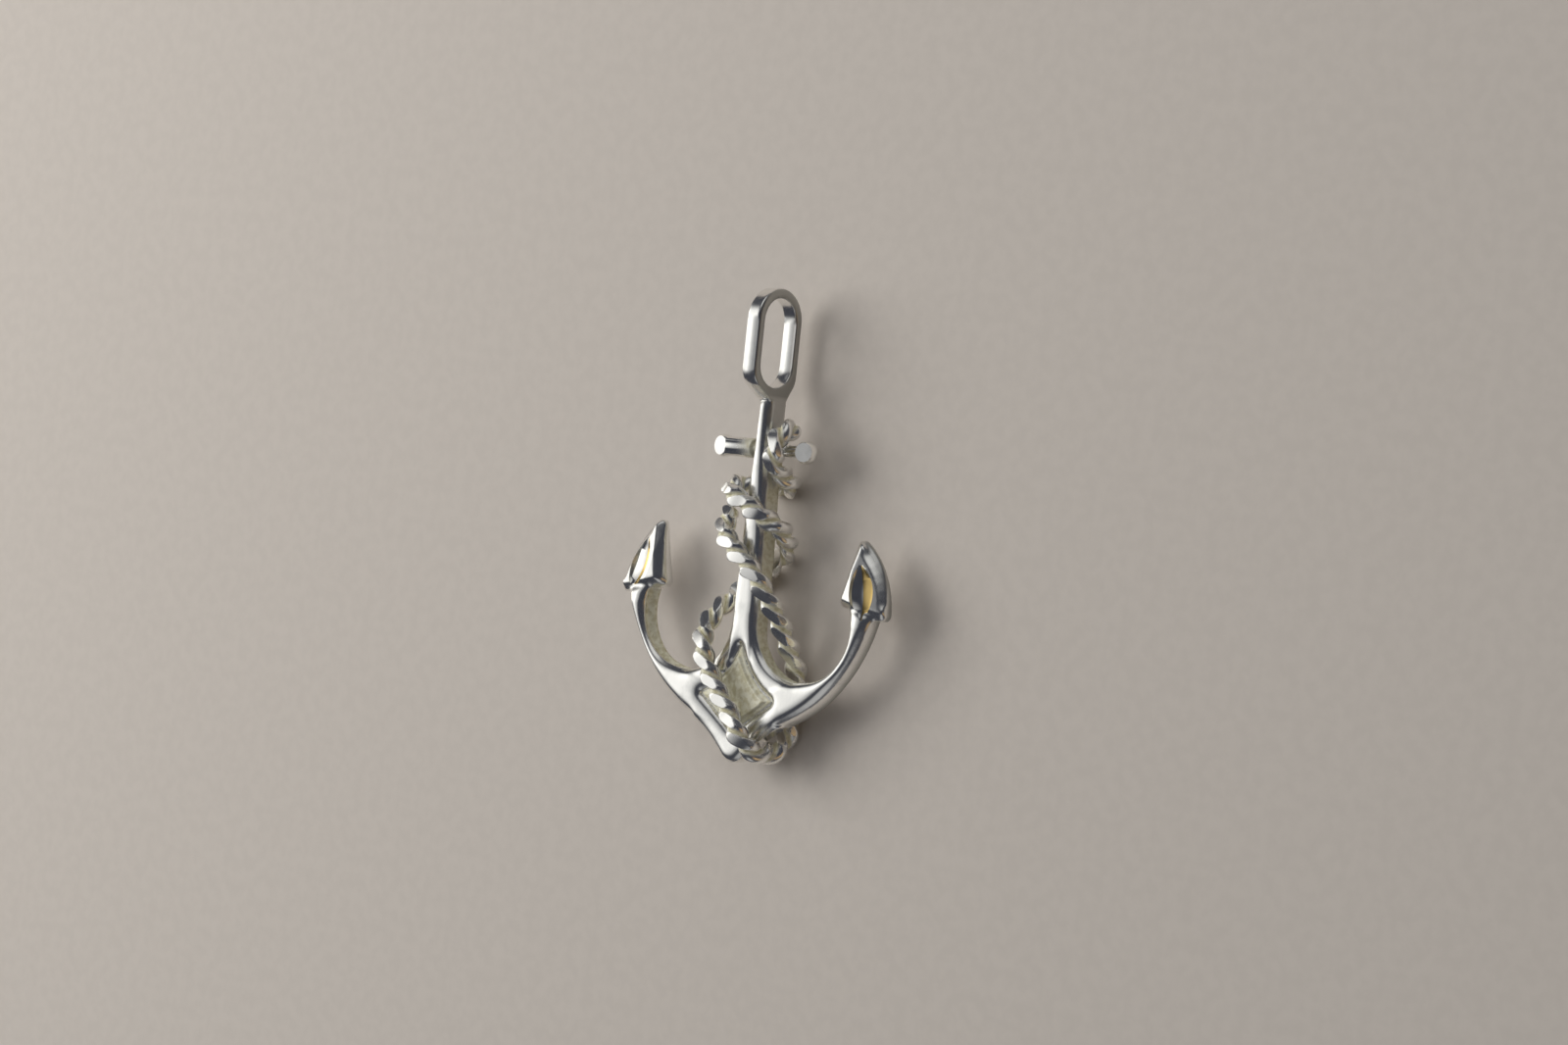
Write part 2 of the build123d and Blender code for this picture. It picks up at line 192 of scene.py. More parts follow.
def arc_through(start, middle, stop, count):
    """Points from start to stop along a curve that passes the middle point half way."""
    start, middle, stop = np.array(start), np.array(middle), np.array(stop)
    pull = 2.0 * middle - 0.5 * (start + stop)
    shares = np.linspace(0.0, 1.0, count, endpoint=False)[:, None]
    return (1 - shares) ** 2 * start + 2 * shares * (1 - shares) * pull + shares**2 * stop


def distance_inside(points, outline):
    """How far each point lies inside a closed outline, below 0 outside it."""
    inside = np.zeros(len(points), bool)
    nearest = np.full(len(points), np.inf)
    for start, stop in zip(outline, np.roll(outline, -1, axis=0)):
        run = stop - start
        share = np.clip(((points - start) @ run) / (run @ run), 0.0, 1.0)
        nearest = np.minimum(nearest, np.linalg.norm(points - start - share[:, None] * run, axis=1))
        crosses = (start[1] > points[:, 1]) != (stop[1] > points[:, 1])
        with np.errstate(divide="ignore", invalid="ignore"):
            crossing = start[0] + (points[:, 1] - start[1]) * run[0] / run[1]
        inside ^= crosses & (points[:, 0] < crossing)
    return np.where(inside, nearest, -nearest)


def rough_skin(points, size, depth):
    """Heights of a cast skin's small lumps, in millimetres."""
    return np.array([noise.noise(Vector(point) / size) for point in points]) * depth


def spread(mesh, values, rounds):
    """Each point's value mixed with its neighbours' again and again."""
    ends = np.empty(len(mesh.edges) * 2, int)
    mesh.edges.foreach_get("vertices", ends)
    first, second = ends.reshape(-1, 2).T
    neighbours = np.bincount(ends, minlength=len(values))
    for _ in range(rounds):
        total = np.bincount(first, values[second], len(values))
        total += np.bincount(second, values[first], len(values))
        values = 0.5 * values + 0.5 * total / neighbours
    return values


def soften(mesh, rounds, share=1.0):
    """Every point drawn half way to the middle of its neighbours, again and again, by a share."""
    points, _ = read_points(mesh)
    softer = np.stack([spread(mesh, values, rounds) for values in points.T], axis=1)
    write_points(mesh, points + (softer - points) * np.reshape(share, (-1, 1)))


casting_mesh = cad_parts["anchor"].data.copy()
casting_mesh.materials.clear()
casting_mesh.transform(upright_to_rest.inverted())
casting = new_piece("anchor_casting", casting_mesh)
remesh = casting.modifiers.new("voxels", "REMESH")
remesh.mode = "VOXEL"
remesh.voxel_size = casting_grain
apply_modifiers(casting)
soften(casting.data, casting_softening)

# The crests get soft shoulders, and the bail round edges and true arcs at its top.
points, normals = read_points(casting.data)
across, up, front = points.T
crest = (normals[:, 2] > 0.8) & (front > crest_level) & (up < bail_foot)
crest_share = spread(casting.data, crest.astype(float), crest_reach)
fallen = 2 * (1 - np.maximum(crest_share, 0.5)) * smooth_step(0.15, 0.75, front) * (up < bail_foot)
on_bail = smooth_step(bail_foot - 0.3, bail_foot + 0.7, up)
bail_edge = (np.abs(across) / bail_half_width) ** 2 * (1 - np.abs(normals[:, 0])) * on_bail
points -= normals * (bail_edge * bail_rounding)[:, None]
points[:, 2] -= fallen * crest_rounding
round_top = points[:, 1:] - (bail_arc_height, bail_arc_front)
from_arc = np.hypot(*round_top.T)
turned_away = 1 - np.sqrt(1 - np.minimum(np.abs(normals[:, 0]), 1) ** 2)
outer_reach = bail_outer_radius - bail_edge_round * turned_away
hole_reach = bail_hole_radius + bail_hole_round * turned_away
true_reach = np.where(from_arc > (bail_outer_radius + bail_hole_radius) / 2, outer_reach, hole_reach)
trueing = smooth_step(0.9, 0.6, np.abs(normals[:, 0])) * smooth_step(-0.1, 0.3, round_top[:, 0])
points[:, 1:] += round_top * ((true_reach / from_arc - 1) * trueing)[:, None]

# The sunk star has a raised plate with a beaded edge, a rib and the mould's grain.
right_star = np.vstack([
    arc_through((0, star_top), star_hollow, (star_side, star_side_height), 8),
    arc_through((star_side, star_side_height), (star_side / 2, (star_side_height + star_bottom) / 2),
                (0, star_bottom), 4),
])
star = np.vstack([right_star, [(0, star_bottom)], right_star[1:][::-1] * (-1, 1)])
in_star = distance_inside(points[:, :2], star)
on_floor = (in_star > star_border) & (front > star_floor - 0.2) & (normals[:, 2] > 0.5)
rib_start, rib_stop = np.array(star_rib_ends)
rib_run = rib_stop - rib_start
rib_place = np.clip((points[:, :2] - rib_start) @ rib_run / (rib_run @ rib_run), 0, 1)
from_rib = np.linalg.norm(points[:, :2] - rib_start - rib_place[:, None] * rib_run, axis=1)
in_plate = in_star - star_plate_edge
relief = star_plate_rise * smooth_step(-star_plate_blur, star_plate_blur, in_plate)
relief += star_bead_rise * hump(star_bead_inset, star_bead_half_width, in_plate)
relief -= star_dip * smooth_step(star_dip_start, star_dip_stop, in_plate)
relief = np.maximum(relief, star_rib_rise * hump(0, star_rib_half_width, from_rib) + relief)
grain = rough_skin(points * on_floor[:, None], star_grain_size, star_grain)
points[:, 2] = np.where(on_floor, star_floor + relief + grain, points[:, 2])

# Each arm's inner wall is hollowed by its channel. Both sides are worked out as the right one.
from_bay = np.stack([np.abs(across), up], axis=1) - bay_middle
bay_reach = np.hypot(*from_bay.T)
below_top = smooth_step(channel_top, channel_top - channel_end_length, up)
beside_arm = smooth_step(-0.5, 1.5, from_bay[:, 0]) * below_top
bay_wall = smooth_step(0.9, 0.5, np.abs(bay_reach - bay_radius)) * beside_arm
channel = hump(channel_height, channel_half_width, front) * bay_wall * channel_depth
points[:, 0] += from_bay[:, 0] / bay_reach * channel * np.sign(across)
points[:, 1] += from_bay[:, 1] / bay_reach * channel

# Each fluke's front is one slope with bevels along its edges, and its foot flows into the arm.
inner_edge = arc_through(fluke_tip, fluke_inner_side, fluke_barb, 10)
leaf = np.vstack([
    inner_edge,
    arc_through(fluke_barb, (np.array(fluke_barb) + np.array(fluke_heel)) / 2, fluke_heel, 4),
    arc_through(fluke_heel, fluke_outer_side, fluke_tip, 10),
])
folded = np.stack([np.abs(across), up], axis=1)
in_leaf = distance_inside(folded, leaf)
far_corners = [(fluke_far_side, 10.0), (fluke_far_side, 20.0)]
beyond_edge = np.vstack([inner_edge, [fluke_barb], far_corners])
from_inner_edge = distance_inside(folded, beyond_edge)


def slope_height(places):
    """Height of a fluke's front, which falls outwards from the inner rim of its lens."""
    from_middle = places - np.array(slope_middle)
    along = from_middle @ (-math.sin(lens_turn), math.cos(lens_turn))
    outwards = from_middle @ (math.cos(lens_turn), math.sin(lens_turn))
    return slope_level - slope_fall * along - slope_side_fall * np.maximum(outwards, -slope_flat_width)


leaf_front = slope_height(folded)
leaf_front -= inner_bevel_drop * smooth_step(inner_bevel_width, 0.0, from_inner_edge)
beyond_inner_bevel = smooth_step(inner_bevel_width, 2 * inner_bevel_width, from_inner_edge)
leaf_front -= outer_bevel_drop * smooth_step(outer_bevel_width, 0.0, in_leaf) * beyond_inner_bevel
base_run = np.array(fluke_heel) - fluke_barb
above_base = (folded - fluke_barb) @ np.array((-base_run[1], base_run[0])) / np.linalg.norm(base_run)
leaf_front -= lower_bevel_drop * smooth_step(lower_bevel_width, 0.0, above_base)
on_fluke = np.abs(across) > fluke_inner_limit
on_leaf = smooth_step(0.02, 0.25, in_leaf) * smooth_step(0.1, 0.4, normals[:, 2]) * on_fluke
ends = smooth_step(-0.1, 0.6, above_base) * smooth_step(0.1, -0.7, up - fluke_tip[1])
points[:, 2] += (leaf_front - front) * on_leaf * ends
write_points(casting.data, points)
soften(casting.data, last_softening)
fluke_foot = smooth_step(foot_blend_width, foot_blend_core, np.abs(above_base))
soften(casting.data, foot_softening, fluke_foot * smooth_step(-0.2, 0.3, front) * on_fluke)


def lens_cutter(side, middle):
    """The cutter for one fluke's lens: a long scoop with a low keel between two steep walls."""
    shape = bmesh.new()
    rows = []
    radius = (lens_length**2 + lens_width**2) / (4 * lens_width)
    for along in np.linspace(-1, 1, lens_sections):
        y = along * lens_length / 2
        half_width = max(math.sqrt(radius**2 - y * y) - radius + lens_width / 2, lens_tip_half_width)
        depth = max(lens_depth * (1 - along**2), lens_least_depth)
        keel = -depth - lens_keel * 2 * half_width / lens_width
        rim = half_width + 2 * lens_rim_width
        top = depth + lens_headroom
        section = [
            (-rim, top), (-rim, depth), (-half_width, -depth), (0, keel), (half_width, -depth),
            (rim, depth), (rim, top),
        ]
        rows.append([shape.verts.new((x, y, z)) for x, z in section])
    # One half of each keel is coloured amber as a painted warm reflection.
    strip_faces = {1: rim_face, 4: rim_face, 3 if side > 0 else 2: reflection_face}
    for row, following in zip(rows, rows[1:]):
        for strip in range(len(row)):
            beside = (strip + 1) % len(row)
            face = shape.faces.new((row[strip], row[beside], following[beside], following[strip]))
            face.material_index = strip_faces.get(strip, mirror_face)
    shape.faces.new(rows[0][::-1]).material_index = mirror_face
    shape.faces.new(rows[-1]).material_index = mirror_face
    level = float(slope_height(np.array(middle)))
    place = Matrix.Translation((*middle, level)) @ Matrix.Rotation(lens_turn, 4, "Z")
    place = place @ Matrix.Rotation(-math.atan(slope_fall), 4, "X")
    place = place @ Matrix.Rotation(math.atan(slope_side_fall), 4, "Y")
    shape.transform(Matrix.Diagonal((side, 1, 1, 1)) @ place)
    bmesh.ops.recalc_face_normals(shape, faces=shape.faces)
    mesh = bpy.data.meshes.new("lens_cutter")
    shape.to_mesh(mesh)
    shape.free()
    return new_piece("lens_cutter", mesh)


def cut_away(piece, cutters, finish_count):
    """The piece with its cutters' shapes taken out of it, and room for its finishes."""
    for _ in range(finish_count):
        piece.data.materials.append(None)
    for cutter in cutters:
        cut = piece.modifiers.new("cut", "BOOLEAN")
        cut.operation = "DIFFERENCE"
        cut.solver = "EXACT"
        cut.object = cutter
    apply_modifiers(piece)
    for cutter in cutters:
        bpy.data.objects.remove(cutter)


cut_away(casting, [lens_cutter(*row) for row in lens_places], 4)


class Socket:
    """One output of a material's nodes, which can be used in sums as a number is."""

    def __init__(self, tree, output):
        self.tree = tree
        self.output = output

    def sum(self, operation, *values):
        return add_node(self.tree, "ShaderNodeMath", {"operation": operation}, dict(enumerate(values)))

    def __add__(self, other):
        return self.sum("ADD", self, other)

    def __radd__(self, other):
        return self.sum("ADD", other, self)

    def __sub__(self, other):
        return self.sum("SUBTRACT", self, other)

    def __rsub__(self, other):
        return self.sum("SUBTRACT", other, self)

    def __mul__(self, other):
        return self.sum("MULTIPLY", self, other)

    def __rmul__(self, other):
        return self.sum("MULTIPLY", other, self)

    def between(self, low, high):
        """0 below low, 1 above high and an even S between them."""
        settings = {"interpolation_type": "SMOOTHSTEP"}
        return add_node(self.tree, "ShaderNodeMapRange", settings, {0: self, 1: low, 2: high})

    def blend(self, first, second):
        """The first colour where this is 0, and the second where it is 1."""
        settings = {"data_type": "RGBA"}
        return add_node(self.tree, "ShaderNodeMix", settings, {0: self, 6: first, 7: second}, 2)


def add_node(tree, kind, settings, inputs, output=0):
    """A new node with its settings made first, then its sockets' values and links."""
    made = tree.nodes.new(kind)
    for name, value in settings.items():
        setattr(made, name, value)
    for name, value in inputs.items():
        if isinstance(value, Socket):
            tree.links.new(value.output, made.inputs[name])
        else:
            made.inputs[name].default_value = value
    return Socket(tree, made.outputs[output])


def new_finish(name):
    """A new material, its node tree and its shader."""
    material = bpy.data.materials.new(name)
    material.use_nodes = True
    return material, material.node_tree, material.node_tree.nodes["Principled BSDF"]


def mark(mesh, name, values):
    """A named number for each point, for the finish to read."""
    layer = mesh.attributes.new(name, "FLOAT", "POINT")
    layer.data.foreach_set("value", np.asarray(values, np.float32))


bright_silver = (0.93, 0.92, 0.89, 1.0)
satin_silver = (0.74, 0.74, 0.72, 1.0)
# A dark grey painted on side faces as shade.
painted_shade_silver = (0.42, 0.42, 0.40, 1.0)
mould_skin = (0.90, 0.88, 0.72, 1.0)
deep_skin = (0.70, 0.66, 0.47, 1.0)
cream_silver = (0.97, 0.95, 0.84, 1.0)
# An amber colour painted into the lenses as a warm reflection.
amber_reflection = (0.95, 0.68, 0.26, 1.0)


def silver(name, polish_roughness):
    """Silver that is polished on its crests, rougher on its sides and darkened there as painted shade, with
    a yellowish skin in hollows.
    """
    material, tree, shader = new_finish(name)
    place = add_node(tree, "ShaderNodeTexCoord", {}, {}, "Object")
    hollow = add_node(tree, "ShaderNodeAttribute", {"attribute_name": "hollow"}, {}, "Fac")
    dull_and_shade = add_node(tree, "ShaderNodeAttribute", {"attribute_name": "dull_and_shade"}, {}, "Fac")
    cut = add_node(tree, "ShaderNodeAttribute", {"attribute_name": "cut"}, {}, "Fac")
    cloud = add_node(tree, "ShaderNodeTexNoise", {}, {"Vector": place, "Scale": 520.0, "Detail": 4.0})
    grain = add_node(tree, "ShaderNodeTexNoise", {}, {"Vector": place, "Scale": 2600.0, "Detail": 3.0})
    stretched = add_node(tree, "ShaderNodeVectorMath", {"operation": "MULTIPLY"}, {
        0: place, 1: (5200.0, 700.0, 5200.0)})
    scratches = add_node(tree, "ShaderNodeTexNoise", {}, {"Vector": stretched, "Scale": 1.0, "Detail": 2.0})
    kept = 1.0 - cut
    skin = (hollow + (cloud - 0.5) * 0.5).between(0.2, 0.8) * kept
    worn = cloud.between(0.45, 0.7) * kept
    metal = (worn * 0.5).blend(bright_silver, satin_silver)
    # Painted shade: the marked side faces are blended towards a dark grey, besides being made rougher.
    metal = (dull_and_shade * kept).blend(metal, painted_shade_silver)
    yellow = grain.between(0.35, 0.62).blend(deep_skin, mould_skin)
    tree.links.new(skin.blend(metal, yellow).output, shader.inputs["Base Color"])
    rough = polish_roughness + worn * 0.07 + skin * 0.30 + dull_and_shade * 0.16 + (scratches - 0.5) * 0.06 * kept
    tree.links.new(rough.output, shader.inputs["Roughness"])
    tree.links.new((1.0 - skin * 0.75).output, shader.inputs["Metallic"])
    height = cloud * 0.25 + scratches * 0.06 + grain * (skin * 0.6 + dull_and_shade * 0.15 + 0.04)
    bump = add_node(tree, "ShaderNodeBump", {}, {
        "Strength": 0.5, "Distance": 0.00004, "Height": height * (1.0 - cut * 0.9)})
    tree.links.new(bump.output, shader.inputs["Normal"])
    return material


def cut_silver(name, colour, roughness):
    """A facet cut by a diamond tool, with the tool's fine lines and a slight wave."""
    material, tree, shader = new_finish(name)
    place = add_node(tree, "ShaderNodeTexCoord", {}, {}, "Object")
    haze = add_node(tree, "ShaderNodeTexNoise", {}, {"Vector": place, "Scale": 700.0, "Detail": 2.0})
    lines = add_node(tree, "ShaderNodeTexWave", {"bands_direction": "Y"}, {
        "Vector": place, "Scale": 2200.0, "Distortion": 2.0})
    shade = tuple(0.86 * level for level in colour[:3]) + (1.0,)
    tree.links.new(haze.between(0.4, 0.7).blend(colour, shade).output, shader.inputs["Base Color"])
    tree.links.new((haze * 0.08 + roughness).output, shader.inputs["Roughness"])
    bump = add_node(tree, "ShaderNodeBump", {}, {
        "Strength": 0.25, "Distance": 0.00002, "Height": haze + lines * 0.05})
    tree.links.new(bump.output, shader.inputs["Normal"])
    shader.inputs["Metallic"].default_value = 1.0
    return material


def smooth_shaded(mesh, sharp_angle):
    """The mesh with soft shading, but for edges that turn by more than an angle."""
    mesh.set_sharp_from_angle(angle=math.radians(sharp_angle))
    for face in mesh.polygons:
        face.use_smooth = True


points, normals = read_points(casting.data)
across, up, front = points.T
star_depth = smooth_step(-0.05, 0.3, distance_inside(points[:, :2], star)) * (front > 0.3)
shank_wall = smooth_step(0.5, 0.85, np.abs(normals[:, 0])) * smooth_step(0.75, 0.35, front)
shank_wall *= smooth_step(23.0, 20.0, up) * smooth_step(3.2, 2.6, np.abs(across))
hub_way = np.stack([across, up - arm_hub_height], axis=1)
hub_way /= np.linalg.norm(hub_way, axis=1)[:, None]
facing_hub = smooth_step(0.1, 0.5, -(normals[:, :2] * hub_way).sum(axis=1))
facing_out = smooth_step(0.3, 0.7, (normals[:, :2] * hub_way).sum(axis=1))
arm_inside = facing_hub * smooth_step(0.7, 0.2, front) * smooth_step(13.0, 12.0, up)
# The sides of the bail and of the upper shank and the arms' outer walls are marked to be darkened as
# painted shade, and made rougher.
bail_side = smooth_step(0.55, 0.8, np.abs(normals[:, 0])) * smooth_step(bail_foot, bail_foot + 0.8, up)
top_side = smooth_step(0.5, 0.85, np.abs(normals[:, 0])) * smooth_step(20.0, 23.0, up)
arm_outside = facing_out * smooth_step(0.1, -0.5, front) * (np.abs(across) > 5.0)
mark(casting.data, "hollow", np.clip(star_depth + shank_wall * 0.7 + arm_inside * 0.75, 0, 1))
mark(casting.data, "dull_and_shade", np.clip(bail_side + top_side * 0.6 + arm_outside * 0.9, 0, 1))
mark(casting.data, "cut", np.zeros(len(points)))
casting.data.transform(upright_to_rest)
casting.data.materials[polished_face] = silver("anchor_silver", 0.2)
casting.data.materials[mirror_face] = cut_silver("lens_silver", bright_silver, 0.02)
# Half of each lens's keel is painted amber as a warm reflection.
casting.data.materials[reflection_face] = cut_silver("lens_amber_reflection", amber_reflection, 0.1)
casting.data.materials[rim_face] = cut_silver("rim_silver", cream_silver, 0.3)
smooth_shaded(casting.data, 42)
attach(casting, "root")
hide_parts("anchor")


# Stock bar: a turned silver pin pushed through the shank. Its thick side and its round head are
# polished, and each end has one bright flat that was cut with a diamond tool.
stock_place = Vector((0.0, 23.86, 0.1))
stock_half = 5.0
bar_radius = 0.75
pin_radius = 0.46
head_radius = 0.89
bar_start = 1.01
bar_edge = 0.12
flat_radius = 0.725
flat_distance = 0.516
flat_turn = math.radians(11)
turning_sides = 72


def round_profile(middle, radius, start, stop, count):
    """Places along the bar and radii for part of a round head."""
    angles = np.linspace(start, stop, count)
    return [(middle + radius * math.cos(angle), radius * math.sin(angle)) for angle in angles]


head_middle = stock_half - head_radius
bar_meets_head = math.asin(bar_radius / head_radius)
pin_meets_head = math.asin(pin_radius / head_radius)
profile = round_profile(-head_middle, head_radius, math.pi, bar_meets_head, 24)
profile += [
    (-bar_start - bar_edge, bar_radius),
    (-bar_start - bar_edge * 0.3, bar_radius - bar_edge * 0.3),
    (-bar_start, bar_radius - bar_edge),
    (-bar_start, pin_radius + bar_edge / 2),
    (-bar_start + bar_edge / 2, pin_radius),
]
profile += round_profile(head_middle, head_radius, math.pi - pin_meets_head, 0.0, 24)
turned = bmesh.new()
rings = []
for along, radius in profile:
    ring = []
    for corner in range(turning_sides):
        angle = 2 * math.pi * corner / turning_sides
        ring.append(turned.verts.new((along, radius * math.cos(angle), radius * math.sin(angle))))
    rings.append(ring)
for ring, following in zip(rings, rings[1:]):
    for corner in range(turning_sides):
        beside = (corner + 1) % turning_sides
        turned.faces.new((ring[corner], ring[beside], following[beside], following[corner]))
bmesh.ops.remove_doubles(turned, verts=turned.verts, dist=0.002)
bmesh.ops.holes_fill(turned, edges=turned.edges)
bmesh.ops.recalc_face_normals(turned, faces=turned.faces)
turned.transform(Matrix.Translation(stock_place))
stock_mesh = bpy.data.meshes.new("stock_pin")
turned.to_mesh(stock_mesh)
turned.free()
stock = new_piece("stock_pin", stock_mesh)


def flat_cutter(side):
    """A round cutter that faces one head's front."""
    shape = bmesh.new()
    bmesh.ops.create_cone(
        shape, cap_ends=True, segments=48, radius1=flat_radius, radius2=flat_radius + 0.3, depth=head_radius
    )
    place = Matrix.Translation(stock_place + Vector((side * head_middle, 0, 0)))
    place = place @ Matrix.Rotation(side * flat_turn, 4, "Y")
    shape.transform(place @ Matrix.Translation((0, 0, flat_distance + head_radius / 2)))
    for face in shape.faces:
        face.material_index = mirror_face
    mesh = bpy.data.meshes.new("flat_cutter")
    shape.to_mesh(mesh)
    shape.free()
    return new_piece("flat_cutter", mesh)


cut_away(stock, [flat_cutter(side) for side in (-1, 1)], 2)
points, normals = read_points(stock.data)
mark(stock.data, "hollow", smooth_step(2.4, 1.4, np.abs(points[:, 0])) * 0.6)
mark(stock.data, "dull_and_shade", np.zeros(len(points)))
mark(stock.data, "cut", np.zeros(len(points)))
stock.data.transform(upright_to_rest)
stock.data.materials[polished_face] = silver("stock_silver", 0.14)
stock.data.materials[mirror_face] = cut_silver("flat_silver", bright_silver, 0.06)
smooth_shaded(stock.data, 30)
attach(stock, "root")
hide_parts("stock_bar")


# Rope: two round silver strands twisted to the left, cast in one and wound round the stock, the
# shank and the crown. The file of a diamond tool left a bright flat on each bump of its front,
# and a narrower one on the flank to the right of it. The grooves keep the mould's yellow skin.
rope_radius = 0.86
strand_radius = 0.52
rope_pitch = 3.5
rope_clearance = 0.06
rope_front_flat = 0.54
rope_side_flat = 0.74
rope_side_turn = math.radians(58)
rope_sides = 64
rope_step = 0.095
shank_foot_height = 7.75
shank_top_width = 1.32
shank_low_width = 2.56
shank_top_depth = 2.1
shank_low_depth = 1.76
# Places up the pendant are counted 0 at its tip, 1 at the shank's foot, 2 at the stock and 3
# where the bail starts. A route's point stands beside and before the middle line by shares of
# where the rope touches the shank's side and its front.
place_levels = [0, shank_foot_height, stock_place.y, bail_foot]
shank_sections = [
    # (place, top share)
    (3.013, 1.00),
    (2.609, 0.97),
    (1.951, 0.82),
    (1.705, 0.42),
    (1.504, 0.18),
    (1.235, 0.00),
    (1.000, 0.00),
]
rope_route = [
    # (place, beside, before)
    (2.454, 1.30, -0.38),
    (2.397, 1.31, 0.26),
    (2.185, 1.31, 0.72),
    (1.947, 1.24, 0.75),
    (1.890, 1.13, 0.11),
    (1.850, 0.96, -0.68),
    (1.822, 0.27, -1.07),
    (1.828, -0.62, -1.03),
    (1.833, -1.13, -0.22),
    (1.813, -1.12, 0.44),
    (1.779, -0.76, 1.00),
    (1.736, 0.06, 1.04),
    (1.683, 0.86, 0.95),
    (1.649, 1.25, 0.39),
    (1.593, 1.19, -0.28),
    (1.530, 0.76, -0.95),
    (1.443, 0.00, -1.01),
    (1.369, -0.84, -1.13),
    (1.302, -1.34, -0.86),
    (1.219, -1.49, 0.00),
    (1.128, -1.55, 0.58),
    (1.040, -1.27, 0.98),
    (0.888, -0.90, 1.03),
    (0.684, -0.33, 1.04),
    (0.488, 0.28, 1.04),
    (0.284, 0.80, 1.06),
    (0.158, 1.21, 0.76),
    (0.120, 1.29, 0.02),
    (0.180, 1.41, -0.72),
    (0.321, 1.53, -1.08),
    (0.516, 1.70, -1.04),
    (0.721, 1.85, -1.00),
    (0.940, 1.80, -0.86),
    (1.072, 1.70, -0.41),
    (1.177, 1.59, 0.12),
    (1.271, 1.38, 0.56),
    (1.356, 1.07, 0.90),
    (1.443, 0.50, 1.03),
    (1.519, -0.30, 1.03),
    (1.586, -0.98, 0.82),
    (1.649, -1.29, 0.45),
    (1.712, -1.40, 0.08),
]
section_places = [place for place, _ in reversed(shank_sections)]
section_tops = [top for _, top in reversed(shank_sections)]
stand_off = rope_radius + rope_clearance
route = []
for place, beside, before in rope_route:
    top = np.interp(place, section_places, section_tops)
    half_width = (shank_low_width + top * (shank_top_width - shank_low_width)) / 2
    half_depth = (shank_low_depth + top * (shank_top_depth - shank_low_depth)) / 2
    height = np.interp(place, range(len(place_levels)), place_levels)
    route.append((beside * (half_width + stand_off), height, before * (half_depth + stand_off)))
route = np.array(route)
padded = np.vstack([2 * route[0] - route[1], route, 2 * route[-1] - route[-2]])
fine = []
for behind, start, stop, ahead in zip(padded, padded[1:], padded[2:], padded[3:]):
    for t in np.arange(0, 1, 0.02):
        slope = stop - behind
        bend = 2 * behind - 5 * start + 4 * stop - ahead
        twist = 3 * start - behind - 3 * stop + ahead
        fine.append(start + 0.5 * (slope * t + bend * t**2 + twist * t**3))
fine = np.array(fine + [route[-1]])
lengths = np.concatenate([[0], np.cumsum(np.linalg.norm(np.diff(fine, axis=0), axis=1))])
ring_count = round(lengths[-1] / rope_step)
stations = np.linspace(0, lengths[-1], ring_count + 1)
line = np.stack([np.interp(stations, lengths, fine[:, axis]) for axis in range(3)], axis=1)
tangents = np.gradient(line, axis=0)
tangents /= np.linalg.norm(tangents, axis=1)[:, None]

strand_offset = rope_radius - strand_radius
angles = 2 * math.pi * np.arange(rope_sides) / rope_sides
lobes = strand_offset * np.abs(np.cos(angles)) + np.sqrt(
    strand_radius**2 - (strand_offset * np.sin(angles)) ** 2)
side = np.array((1.0, 0.0, 0.0))
rope_points = []
cut_marks = []
groove_marks = []
for number, (middle, tangent) in enumerate(zip(line, tangents)):
    side = side - tangent * (side @ tangent)
    side /= np.linalg.norm(side)
    other = np.cross(tangent, side)
    turn = -2 * math.pi * stations[number] / rope_pitch
    from_end = min(stations[number], lengths[-1] - stations[number])
    end_share = math.sqrt(1 - (1 - min(from_end / strand_radius, 1)) ** 2) if from_end > 0 else 0.2
    reach = lobes * max(end_share, 0.2)
    offsets = reach[:, None] * (
        np.cos(angles + turn)[:, None] * side + np.sin(angles + turn)[:, None] * other)
    facing = np.array((0.0, 0.0, 1.0)) - tangent * tangent[2]
    steepness = np.linalg.norm(facing)
    facing /= steepness
    rightward = np.cross(facing, tangent)
    rightward *= math.copysign(1.0, rightward[0])
    flank = math.cos(rope_side_turn) * facing + math.sin(rope_side_turn) * rightward
    cut = np.zeros(rope_sides)
    for direction, limit in ((facing, rope_front_flat), (flank, rope_side_flat)):
        limit = limit + (rope_radius - limit) * (1 - min(1, max(0, (steepness - 0.5) / 0.3)))
        above = offsets @ direction - limit
        offsets = offsets - np.clip(above, 0, None)[:, None] * direction
        cut = np.maximum(cut, above > 0.004)
    rope_points.append(middle + offsets)
    cut_marks.append(cut)
    groove_marks.append(1 - (reach - reach.min()) / (reach.max() - reach.min()))
rope_mesh = bpy.data.meshes.new("twisted_rope")
faces = []
ring_total = len(rope_points)
for ring in range(ring_total - 1):
    for corner in range(rope_sides):
        beside = (corner + 1) % rope_sides
        low = ring * rope_sides
        high = low + rope_sides
        faces.append((low + corner, low + beside, high + beside, high + corner))
faces.append(tuple(reversed(range(rope_sides))))
faces.append(tuple(range((ring_total - 1) * rope_sides, ring_total * rope_sides)))
rope_mesh.from_pydata([tuple(point) for point in np.vstack(rope_points)], [], faces)
rope = new_piece("twisted_rope", rope_mesh)
mark(rope.data, "hollow", smooth_step(0.35, 0.9, np.concatenate(groove_marks)) * 0.7 + 0.15)
mark(rope.data, "dull_and_shade", np.zeros(len(rope.data.vertices)))
mark(rope.data, "cut", np.concatenate(cut_marks))
rope.data.transform(upright_to_rest)
rope.data.materials.append(silver("rope_silver", 0.24))
smooth_shaded(rope.data, 30)
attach(rope, "root")
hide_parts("rope")


